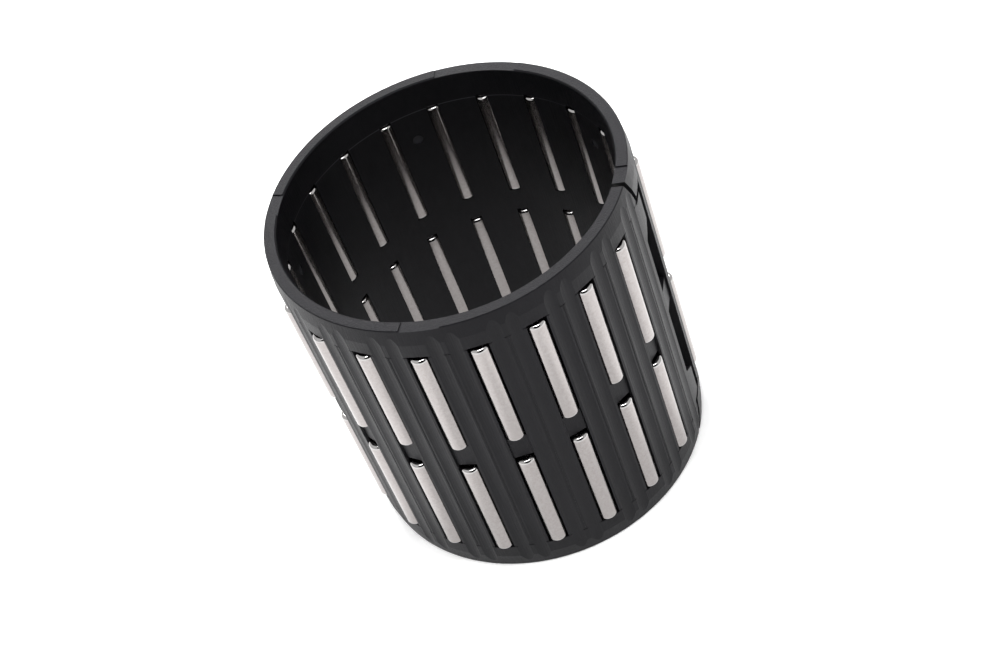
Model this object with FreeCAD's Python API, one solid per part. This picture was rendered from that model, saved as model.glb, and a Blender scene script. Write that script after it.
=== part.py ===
import FreeCAD, Part
import math
import os

# Double-row needle roller and cage assembly, split plastic cage, millimetres.
# Origin at the centre of the bore, +Z along the bearing axis towards the end
# face with the marking pads, +X through the middle of the missing roller column.

V = FreeCAD.Vector
AXIS_Z = V(0, 0, 1)

# Needle envelope and rollers
ROLLER_D = 2.5           # needle roller diameter
ROLLER_L = 16.8          # needle roller length over its flat ends
ROLLER_EDGE_R = 0.42     # rounded edge at each roller end
ROLLER_REST = 0.18       # rollers rest this far below the middle of their pockets
PITCH_R = 22.25          # radius of the circle the roller axes lie on
COLUMNS = 20             # angular positions; column 0 holds the split
ROWS = (("upper", 1), ("lower", -1))

# Cage ring
CAGE_L = 46.6            # width over the end faces
BORE_R = 21.22           # bore of the cage
FACE_R = 22.80           # outer edge of each end face
OUTER_R = 23.07          # largest radius, on rims and crossbars
TAPER_L = 2.2            # length of the taper from OUTER_R down to FACE_R
BORE_CHAMFER = 0.18      # chamfer where the bore meets an end face
FACE_CHAMFER = 0.10      # chamfer on the outer edge of an end face

# Pockets
POCKET_L = 17.3          # axial length of one pocket
WEB_L = 3.6              # width of the middle ring between the two rows
POCKET_R = 1.30          # concave pocket wall, concentric with its roller
WEB_R = 22.65            # recessed outer surface of the middle ring
LIP_HALF = 1.21          # half width between the retaining lips, at WEB_R
MOUTH_HALF = 1.33        # half width of the pocket mouth, at OUTER_R

# Lengthwise flutes, two on every crossbar
FLUTE_DEPTH = 0.15
FLUTE_W = 1.8
FLUTE_OFFSET_DEG = 2.85  # each side of the crossbar's middle

# Split at column 0: an open window in both rows, joined by narrow cuts
WINDOW_W = 3.94
WINDOW_MID_DEG = 3.1     # the window reaches further on its counter-clockwise side
WEB_CUT_W = 0.46         # width of the cut through the middle ring
RIM_CUT_W = 0.72         # width of the slanted cut through a rim
RIM_CUT_Y = (-3.12, -1.48)  # middle of a rim's cut: at the end face, at the window
STOP_W = 2.4             # lug left on each window's clockwise side
STOP_L = 6.3
STOP_SLANT = 1.9         # the lug's free corner is this much shorter
STOP_GAP = 0.7           # between a lug and the rim it locates

# Marking pads sunk into the upper end face: middle angle and width, degrees
PADS_DEG = ((-86.4, 12.3), (181.3, 9.6), (89.0, 29.0), (-1.0, 8.2))
PAD_DEPTH = 0.14

# Mould parting lines: a ring near each rim and one line along every crossbar
PARTING_Z = 18.95
PARTING_W = 0.12
PARTING_DEPTH = 0.06

# Ejector marks inside, on every fourth crossbar
EJECTOR_R = 0.7
EJECTOR_DEPTH = 0.14
EJECTOR_Z = 14.5
EJECTOR_FIRST = 2
EJECTOR_STEP = 4

STEP_DEG = 360.0 / COLUMNS
HALF_L = CAGE_L / 2.0
WINDOW_TOP = WEB_L / 2.0 + POCKET_L   # height where the pockets end at a rim
ROW_Z = (WEB_L + POCKET_L) / 2.0      # height of the middle of a row
CLEAR = 1.0                           # how far cutters run past the ring


def turned(shape, degrees):
    """Return the shape turned about the bearing axis."""
    result = shape.copy()
    result.rotate(V(0, 0, 0), AXIS_Z, degrees)
    return result


def block(radii, widths, heights):
    """Return a block at angle 0 from its radial, tangential and axial limits."""
    size = [limits[1] - limits[0] for limits in (radii, widths, heights)]
    corner = V(radii[0], widths[0], heights[0])
    return Part.makeBox(size[0], size[1], size[2], corner)


def prism(points, direction):
    """Return the closed outline through the points, extruded along direction."""
    outline = Part.makePolygon(points + [points[0]])
    return Part.Face(outline).extrude(direction)


def ring_blank():
    """Return the plain ring with tapered rims and chamfered edges."""
    upper = [
        (OUTER_R, HALF_L - TAPER_L),
        (FACE_R, HALF_L - FACE_CHAMFER),
        (FACE_R - FACE_CHAMFER, HALF_L),
        (BORE_R + BORE_CHAMFER, HALF_L),
        (BORE_R, HALF_L - BORE_CHAMFER),
    ]
    lower = [(radius, -height) for radius, height in reversed(upper)]
    points = [V(radius, 0, height) for radius, height in upper + lower]
    outline = Part.makePolygon(points + [points[0]])
    return Part.Face(outline).revolve(V(0, 0, 0), AXIS_Z, 360)


def roller(row_sign):
    """Return one needle roller at angle 0, with rounded end edges."""
    middle = row_sign * ROW_Z - ROLLER_REST
    base = V(PITCH_R, 0, middle - ROLLER_L / 2.0)
    body = Part.makeCylinder(ROLLER_D / 2.0, ROLLER_L, base)
    ends = [edge for edge in body.Edges if abs(edge.Vertexes[0].Z - edge.Vertexes[-1].Z) < 1e-6]
    return body.makeFillet(ROLLER_EDGE_R, ends)


def pocket_cutter():
    """Return the cutter for one column: two round pockets and their common mouth."""
    slope = (MOUTH_HALF - LIP_HALF) / (OUTER_R - WEB_R)
    top_r = OUTER_R + CLEAR
    top_half = MOUTH_HALF + slope * CLEAR
    outline = [
        V(WEB_R, -LIP_HALF, -WINDOW_TOP),
        V(top_r, -top_half, -WINDOW_TOP),
        V(top_r, top_half, -WINDOW_TOP),
        V(WEB_R, LIP_HALF, -WINDOW_TOP),
    ]
    cutter = prism(outline, V(0, 0, 2 * WINDOW_TOP))
    for _, sign in ROWS:
        base = V(PITCH_R, 0, sign * ROW_Z - POCKET_L / 2.0)
        cutter = cutter.fuse(Part.makeCylinder(POCKET_R, POCKET_L, base))
    return cutter


def flute_cutter():
    """Return one long shallow flute at angle 0."""
    radius = FLUTE_W ** 2 / (8 * FLUTE_DEPTH) + FLUTE_DEPTH / 2.0
    base = V(OUTER_R - FLUTE_DEPTH + radius, 0, -HALF_L - CLEAR)
    return Part.makeCylinder(radius, CAGE_L + 2 * CLEAR, base)


def parting_ring(sign):
    """Return the ring that cuts the parting line near one rim."""
    base = V(0, 0, sign * PARTING_Z - PARTING_W / 2.0)
    outer = Part.makeCylinder(OUTER_R + CLEAR, PARTING_W, base)
    return outer.cut(Part.makeCylinder(OUTER_R - PARTING_DEPTH, PARTING_W, base))


def parting_line():
    """Return the bar that cuts one lengthwise parting line at angle 0."""
    radii = (OUTER_R - PARTING_DEPTH, OUTER_R + CLEAR)
    side = PARTING_W / 2.0
    return block(radii, (-side, side), (-PARTING_Z, PARTING_Z))


def pad_cutter(middle_deg, width_deg):
    """Return the annular sector that sinks one marking pad."""
    outer = OUTER_R + CLEAR
    base = V(0, 0, HALF_L - PAD_DEPTH)
    sector = Part.makeCylinder(outer, PAD_DEPTH + CLEAR, base, AXIS_Z, width_deg)
    return turned(sector, middle_deg - width_deg / 2.0)


def ejector_cutter():
    """Return one shallow round mark on the bore wall at angle 0."""
    length = EJECTOR_DEPTH + CLEAR
    base = V(BORE_R - CLEAR, 0, EJECTOR_Z)
    return Part.makeCylinder(EJECTOR_R, length, base, V(1, 0, 0))


def rim_cut(sign):
    """Return the slanted cut through one rim, in the frame of the window."""
    face_y, window_y = RIM_CUT_Y
    run = (window_y - face_y) / (HALF_L - WINDOW_TOP)
    outline = []
    for height, side in (
        (HALF_L + CLEAR, -1),
        (HALF_L + CLEAR, 1),
        (WINDOW_TOP - RIM_CUT_W, 1),
        (WINDOW_TOP - RIM_CUT_W, -1),
    ):
        middle = face_y + run * (HALF_L - height)
        outline.append(V(BORE_R - CLEAR, middle + side * RIM_CUT_W / 2.0, sign * height))
    return prism(outline, V(OUTER_R - BORE_R + 2 * CLEAR, 0, 0))


def lug_space(sign):
    """Return the space of the lug just inside one rim, in the frame of the window."""
    root = -WINDOW_W / 2.0 - 0.3
    tip = -WINDOW_W / 2.0 + STOP_W
    far = sign * (WINDOW_TOP - STOP_GAP)
    near = sign * (WINDOW_TOP - STOP_GAP - STOP_L)
    slant = sign * (WINDOW_TOP - STOP_GAP - STOP_L + STOP_SLANT)
    inner = BORE_R - CLEAR
    outline = [
        V(inner, root, far),
        V(inner, tip, far),
        V(inner, tip, slant),
        V(inner, root, near),
    ]
    return prism(outline, V(OUTER_R - BORE_R + 2 * CLEAR, 0, 0))


def split_cutter():
    """Return the two windows without their lugs, the web's recess and the narrow cuts."""
    side = WINDOW_W / 2.0
    radii = (BORE_R - CLEAR, OUTER_R + CLEAR)
    cutter = block((WEB_R, OUTER_R + CLEAR), (-side, side), (-WINDOW_TOP, WINDOW_TOP))
    cutter = cutter.fuse(block(radii, (-side, side), (WEB_L / 2.0, WINDOW_TOP)))
    cutter = cutter.fuse(block(radii, (-side, side), (-WINDOW_TOP, -WEB_L / 2.0)))
    cutter = cutter.fuse(block(radii, (-side, WEB_CUT_W - side), (-WINDOW_TOP, WINDOW_TOP)))
    for _, sign in ROWS:
        cutter = cutter.fuse(rim_cut(sign))
    spaces = [lug_space(sign) for _, sign in ROWS]
    return turned(cutter.removeSplitter().cut(spaces), WINDOW_MID_DEG)


def cage():
    """Return the one-piece split cage."""
    cutters = [parting_ring(sign) for _, sign in ROWS]
    pocket = pocket_cutter()
    flute = flute_cutter()
    line = parting_line()
    for column in range(COLUMNS):
        angle = column * STEP_DEG
        if column > 0:
            cutters.append(turned(pocket, angle))
        bar = angle + STEP_DEG / 2.0
        if column > 0:
            cutters.append(turned(flute, bar - FLUTE_OFFSET_DEG))
        cutters.append(turned(flute, bar + FLUTE_OFFSET_DEG))
        cutters.append(turned(line, bar))
    for middle, width in PADS_DEG:
        cutters.append(pad_cutter(middle, width))
    for column in range(EJECTOR_FIRST, COLUMNS, EJECTOR_STEP):
        cutters.append(turned(ejector_cutter(), (column + 0.5) * STEP_DEG))
    cutters.append(split_cutter())
    return ring_blank().cut(cutters)


def main():
    os.makedirs("parts", exist_ok=True)
    cage().exportStep("parts/cage.step")
    for name, sign in ROWS:
        blank = roller(sign)
        for column in range(1, COLUMNS):
            placed = turned(blank, column * STEP_DEG)
            placed.exportStep("parts/roller_%s_%02d.step" % (name, column))


main()
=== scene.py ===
import math

import bmesh
import bpy
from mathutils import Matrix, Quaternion, Vector

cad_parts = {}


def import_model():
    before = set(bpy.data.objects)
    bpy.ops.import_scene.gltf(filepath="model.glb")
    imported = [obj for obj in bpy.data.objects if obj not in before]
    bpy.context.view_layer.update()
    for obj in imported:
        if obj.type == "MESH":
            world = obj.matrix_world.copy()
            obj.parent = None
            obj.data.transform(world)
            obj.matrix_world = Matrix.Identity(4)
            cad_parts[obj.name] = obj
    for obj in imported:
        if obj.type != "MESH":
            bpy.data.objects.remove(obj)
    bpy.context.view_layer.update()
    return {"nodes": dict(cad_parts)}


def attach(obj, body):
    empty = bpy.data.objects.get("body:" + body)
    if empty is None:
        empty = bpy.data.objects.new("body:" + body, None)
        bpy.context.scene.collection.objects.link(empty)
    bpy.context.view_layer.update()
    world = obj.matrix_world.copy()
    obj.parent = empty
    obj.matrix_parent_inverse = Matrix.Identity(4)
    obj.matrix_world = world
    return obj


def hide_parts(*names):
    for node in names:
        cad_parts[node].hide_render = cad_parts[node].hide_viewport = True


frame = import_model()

MM = 0.001

# Camera fitted to the photograph's perspective, in the row frame
CAMERA_MM = (71.919, -150.105, 164.942)
AIM_MM = (0.547, -1.546, -1.629)
ROLL_DEG = 22.245
LENS_MM = 65.28
SENSOR_MM = 36.0

# Dark opening in the studio's white surroundings, in a fixed direction near the
# camera's, so that the smooth roller ends mirror something dark
DARK_HEADING = (0.350, -0.731, 0.586)
DARK_INNER_DEG = 31.0
DARK_OUTER_DEG = 37.0

FLOOR_HALF = 3.0
FLOOR_DROP = 0.05 * MM
HALF_L = 23.3 * MM

# Needle rollers, the same sizes as in the CAD model
COLUMNS = 20             # one of them is taken by the split, so each row has 19 rollers
ROLLER_R = 1.25 * MM
ROLLER_HALF = 8.4 * MM
ROLLER_EDGE = 0.42 * MM
PITCH_R = 22.25 * MM
ROW_Z = 10.45 * MM
ROLLER_REST = 0.18 * MM  # a roller stands this far below the middle of its pocket
RING_STEPS = 72
CORNER_STEPS = 7
END_RINGS = (0.02, 0.35, 0.6)  # rings on a roller's flat end, as parts of its radius

# Marks in the bore of the cage: parting lines and ejector-mark floors, lightened in colour as a
# painted highlight
BORE_LIMIT_R = 21.26 * MM
PARTING_Z = 18.95 * MM
PARTING_HALF = 0.06 * MM
EJECTOR_Z = 14.5 * MM
EJECTOR_R = 0.72 * MM
EJECTOR_FLOOR_R = 21.37 * MM
EJECTOR_FLOOR_HALF = 0.03 * MM


def clear_nodes(material):
    material.use_nodes = True
    tree = material.node_tree
    tree.nodes.clear()
    out = tree.nodes.new("ShaderNodeOutputMaterial")
    shader = tree.nodes.new("ShaderNodeBsdfPrincipled")
    tree.links.new(shader.outputs["BSDF"], out.inputs["Surface"])
    return tree, shader


def noise(tree, coords, scale, detail=2.0, rough=0.5):
    node = tree.nodes.new("ShaderNodeTexNoise")
    node.inputs["Scale"].default_value = scale
    node.inputs["Detail"].default_value = detail
    node.inputs["Roughness"].default_value = rough
    tree.links.new(coords, node.inputs["Vector"])
    return node.outputs["Fac"]


def stretched(tree, coords, scale):
    node = tree.nodes.new("ShaderNodeMapping")
    node.inputs["Scale"].default_value = scale
    tree.links.new(coords, node.inputs["Vector"])
    return node.outputs["Vector"]


def ramp(tree, value, stops):
    node = tree.nodes.new("ShaderNodeValToRGB")
    elements = node.color_ramp.elements
    while len(elements) < len(stops):
        elements.new(0.5)
    for element, (position, colour) in zip(elements, stops):
        element.position = position
        element.color = (*colour, 1.0)
    tree.links.new(value, node.inputs["Fac"])
    return node.outputs["Color"]


def map_range(tree, value, low, high):
    node = tree.nodes.new("ShaderNodeMapRange")
    node.inputs["From Min"].default_value = 0.3
    node.inputs["From Max"].default_value = 0.7
    node.inputs["To Min"].default_value = low
    node.inputs["To Max"].default_value = high
    tree.links.new(value, node.inputs["Value"])
    return node.outputs["Result"]


def bump(tree, height, strength, distance, below=None):
    node = tree.nodes.new("ShaderNodeBump")
    node.inputs["Strength"].default_value = strength
    node.inputs["Distance"].default_value = distance
    tree.links.new(height, node.inputs["Height"])
    if below is not None:
        tree.links.new(below, node.inputs["Normal"])
    return node.outputs["Normal"]


def math_node(tree, operation, *values):
    """Link or set each value on a Math node and return its output."""
    node = tree.nodes.new("ShaderNodeMath")
    node.operation = operation
    for socket, value in zip(node.inputs, values):
        if isinstance(value, float):
            socket.default_value = value
        else:
            tree.links.new(value, socket)
    return node.outputs["Value"]


def split_xyz(tree, vector):
    node = tree.nodes.new("ShaderNodeSeparateXYZ")
    tree.links.new(vector, node.inputs["Vector"])
    return node.outputs["X"], node.outputs["Y"], node.outputs["Z"]


def mix_colour(tree, factor, first, second):
    node = tree.nodes.new("ShaderNodeMix")
    node.data_type = "RGBA"
    tree.links.new(factor, node.inputs["Factor"])
    tree.links.new(first, node.inputs["A"])
    node.inputs["B"].default_value = (*second, 1.0)
    return node.outputs["Result"]


def bore_painted_highlight_mask(tree, coords):
    """Mask of the parting lines in the bore and of the flat floors of the ejector marks, where a
    painted highlight lightens the colour.
    """
    x, y, z = split_xyz(tree, coords)
    squared = math_node(
        tree, "ADD", math_node(tree, "MULTIPLY", x, x), math_node(tree, "MULTIPLY", y, y))
    radius = math_node(tree, "SQRT", squared)
    in_bore = math_node(tree, "LESS_THAN", radius, BORE_LIMIT_R)
    on_line = math_node(tree, "COMPARE", math_node(tree, "ABSOLUTE", z), PARTING_Z, PARTING_HALF)
    line = math_node(tree, "MULTIPLY", in_bore, on_line)
    floor_radius = math_node(tree, "COMPARE", radius, EJECTOR_FLOOR_R, EJECTOR_FLOOR_HALF)
    floor_height = math_node(tree, "COMPARE", z, EJECTOR_Z, EJECTOR_R)
    mark_floor = math_node(tree, "MULTIPLY", floor_radius, floor_height)
    return math_node(tree, "MAXIMUM", line, mark_floor)


def plastic_material():
    material = bpy.data.materials.new("cage_polyamide")
    tree, shader = clear_nodes(material)
    source = tree.nodes.new("ShaderNodeTexCoord")
    coords = source.outputs["Object"]
    cloud = noise(tree, coords, 260.0, 3.0)
    grain = noise(tree, coords, 5200.0, 3.0, 0.75)
    flow = noise(tree, stretched(tree, coords, (1.0, 1.0, 0.04)), 4200.0, 3.0, 0.6)
    colour = ramp(tree, cloud, (
        (0.30, (0.0011, 0.0011, 0.0018)),
        (0.72, (0.0022, 0.0022, 0.0032)),
    ))
    # Painted highlight: the parting lines and ejector-mark floors in the bore get a lighter
    # colour in place of the light they catch
    colour_with_painted_highlight = mix_colour(tree, bore_painted_highlight_mask(tree, coords), colour, (0.030, 0.030, 0.034))
    tree.links.new(colour_with_painted_highlight, shader.inputs["Base Color"])
    tree.links.new(map_range(tree, grain, 0.40, 0.52), shader.inputs["Roughness"])
    facing = math_node(tree, "ABSOLUTE", split_xyz(tree, source.outputs["Normal"])[2])
    coarse = math_node(tree, "MULTIPLY", grain, math_node(tree, "POWER", facing, 4.0))
    under = bump(tree, flow, 0.9, 0.00004)
    skin = bump(tree, grain, 0.4, 0.00002, under)
    tree.links.new(bump(tree, coarse, 1.0, 0.00006, skin), shader.inputs["Normal"])
    shader.inputs["IOR"].default_value = 1.26
    shader.inputs["Specular Tint"].default_value = (0.96, 0.94, 1.0, 1.0)
    return material


def steel_material(name, low_rough, high_rough, tint_low, tint_high, grain_strength):
    material = bpy.data.materials.new(name)
    tree, shader = clear_nodes(material)
    coords = tree.nodes.new("ShaderNodeTexCoord").outputs["Object"]
    mottle = noise(tree, coords, 2600.0, 4.0, 0.75)
    grain = noise(tree, coords, 7000.0, 2.0, 0.6)
    colour = ramp(tree, mottle, ((0.32, tint_low), (0.68, tint_high)))
    tree.links.new(colour, shader.inputs["Base Color"])
    tree.links.new(map_range(tree, grain, low_rough, high_rough), shader.inputs["Roughness"])
    tree.links.new(bump(tree, grain, grain_strength, 0.00002), shader.inputs["Normal"])
    shader.inputs["Metallic"].default_value = 1.0
    return material


def floor_material():
    material = bpy.data.materials.new("floor_paper")
    tree, shader = clear_nodes(material)
    coords = tree.nodes.new("ShaderNodeTexCoord").outputs["Object"]
    fibre = noise(tree, coords, 900.0, 3.0)
    colour = ramp(tree, fibre, ((0.3, (0.93, 0.93, 0.93)), (0.7, (0.95, 0.95, 0.95))))
    tree.links.new(colour, shader.inputs["Base Color"])
    tree.links.new(colour, shader.inputs["Emission Color"])
    shader.inputs["Emission Strength"].default_value = 0.20
    tree.links.new(bump(tree, fibre, 0.05, 0.0001), shader.inputs["Normal"])
    shader.inputs["Roughness"].default_value = 0.9
    return material


def roller_outline():
    """Radius and height of each ring of a roller, from the lower to the upper end."""
    corner = []
    for step in range(CORNER_STEPS + 1):
        angle = math.radians(90.0 * step / CORNER_STEPS)
        corner.append((ROLLER_R - ROLLER_EDGE + ROLLER_EDGE * math.sin(angle),
                       -ROLLER_HALF + ROLLER_EDGE - ROLLER_EDGE * math.cos(angle)))
    flat = [(ROLLER_R * part, -ROLLER_HALF) for part in END_RINGS]
    lower = flat + corner
    return lower + [(radius, -height) for radius, height in reversed(lower)]


def roller_piece(name, angle_deg, row_z, body, materials):
    """Add one roller: the first material on its body, the second on its ends."""
    outline = roller_outline()
    angle = math.radians(angle_deg)
    centre = Vector((PITCH_R * math.cos(angle), PITCH_R * math.sin(angle), row_z))
    mesh = bmesh.new()
    rings = []
    for radius, height in outline:
        ring = []
        for step in range(RING_STEPS):
            turn = angle + 2 * math.pi * step / RING_STEPS
            offset = Vector((radius * math.cos(turn), radius * math.sin(turn), height))
            ring.append(mesh.verts.new(centre + offset))
        rings.append(ring)
    middle = len(rings) // 2
    for index in range(len(rings) - 1):
        for step in range(RING_STEPS):
            after = (step + 1) % RING_STEPS
            face = mesh.faces.new((rings[index][step], rings[index][after],
                                   rings[index + 1][after], rings[index + 1][step]))
            face.smooth = True
            face.material_index = 0 if index + 1 == middle else 1
    mesh.faces.new(list(reversed(rings[0]))).material_index = 1
    mesh.faces.new(rings[-1]).material_index = 1
    data = bpy.data.meshes.new(name)
    mesh.to_mesh(data)
    mesh.free()
    for material in materials:
        data.materials.append(material)
    piece = bpy.data.objects.new(name, data)
    bpy.context.scene.collection.objects.link(piece)
    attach(piece, body)
    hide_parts(body)


def area_light(name, position, width, depth, power):
    data = bpy.data.lights.new(name, "AREA")
    data.shape = "ELLIPSE"
    data.size = width
    data.size_y = depth
    data.energy = power
    lamp = bpy.data.objects.new(name, data)
    lamp.location = position
    lamp.rotation_euler = (-Vector(position)).to_track_quat("-Z", "Y").to_euler()
    bpy.context.scene.collection.objects.link(lamp)


def camera():
    data = bpy.data.cameras.new("camera")
    data.lens = LENS_MM
    data.sensor_width = SENSOR_MM
    data.clip_start = 0.01
    data.clip_end = 20.0
    place = Vector(CAMERA_MM) * MM
    aim = Vector(AIM_MM) * MM - place
    level = aim.to_track_quat("-Z", "Y")
    roll = Quaternion((0, 0, 1), -math.radians(ROLL_DEG))
    item = bpy.data.objects.new("camera", data)
    item.location = place
    item.rotation_euler = (level @ roll).to_euler()
    bpy.context.scene.collection.objects.link(item)
    bpy.context.scene.camera = item


def floor():
    mesh = bmesh.new()
    level = -HALF_L - FLOOR_DROP
    corners = ((-FLOOR_HALF, -FLOOR_HALF), (FLOOR_HALF, -FLOOR_HALF),
               (FLOOR_HALF, FLOOR_HALF), (-FLOOR_HALF, FLOOR_HALF))
    mesh.faces.new([mesh.verts.new((x, y, level)) for x, y in corners])
    data = bpy.data.meshes.new("floor")
    mesh.to_mesh(data)
    mesh.free()
    data.materials.append(floor_material())
    item = bpy.data.objects.new("floor", data)
    bpy.context.scene.collection.objects.link(item)


def world():
    surroundings = bpy.data.worlds.new("studio")
    bpy.context.scene.world = surroundings
    surroundings.use_nodes = True
    tree = surroundings.node_tree
    background = tree.nodes["Background"]
    heading = tree.nodes.new("ShaderNodeTexCoord").outputs["Generated"]
    towards = tree.nodes.new("ShaderNodeVectorMath")
    towards.operation = "DOT_PRODUCT"
    towards.inputs[1].default_value = DARK_HEADING
    tree.links.new(heading, towards.inputs[0])
    edge = tree.nodes.new("ShaderNodeMapRange")
    edge.interpolation_type = "SMOOTHSTEP"
    edge.inputs["From Min"].default_value = math.cos(math.radians(DARK_OUTER_DEG))
    edge.inputs["From Max"].default_value = math.cos(math.radians(DARK_INNER_DEG))
    edge.inputs["To Min"].default_value = 1.0
    edge.inputs["To Max"].default_value = 0.03
    tree.links.new(towards.outputs["Value"], edge.inputs["Value"])
    tree.links.new(edge.outputs["Result"], background.inputs["Strength"])
    background.inputs["Color"].default_value = (1.0, 1.0, 1.0, 1.0)


plastic = plastic_material()
ground = steel_material(
    "roller_ground", 0.17, 0.23, (0.295, 0.272, 0.265), (0.362, 0.341, 0.335), 0.06)
polished = steel_material(
    "roller_polished", 0.05, 0.08, (0.37, 0.36, 0.355), (0.43, 0.42, 0.415), 0.03)

cage = frame["nodes"]["cage"]
for entry in cage.material_slots:
    entry.material = plastic

for row, side in (("upper", 1), ("lower", -1)):
    for column in range(1, COLUMNS):
        roller_piece(f"needle_{row}_{column:02d}", 360.0 / COLUMNS * column,
                     side * ROW_Z - ROLLER_REST, f"roller_{row}_{column:02d}", (ground, polished))

floor()
world()
area_light("back_softbox", (-0.154, 0.321, 0.352), 0.22, 0.22, 2.5)
area_light("top_lamp", (0.052, -0.108, 0.485), 0.36, 0.11, 1.7)
camera()
bpy.context.scene.view_settings.view_transform = "Standard"
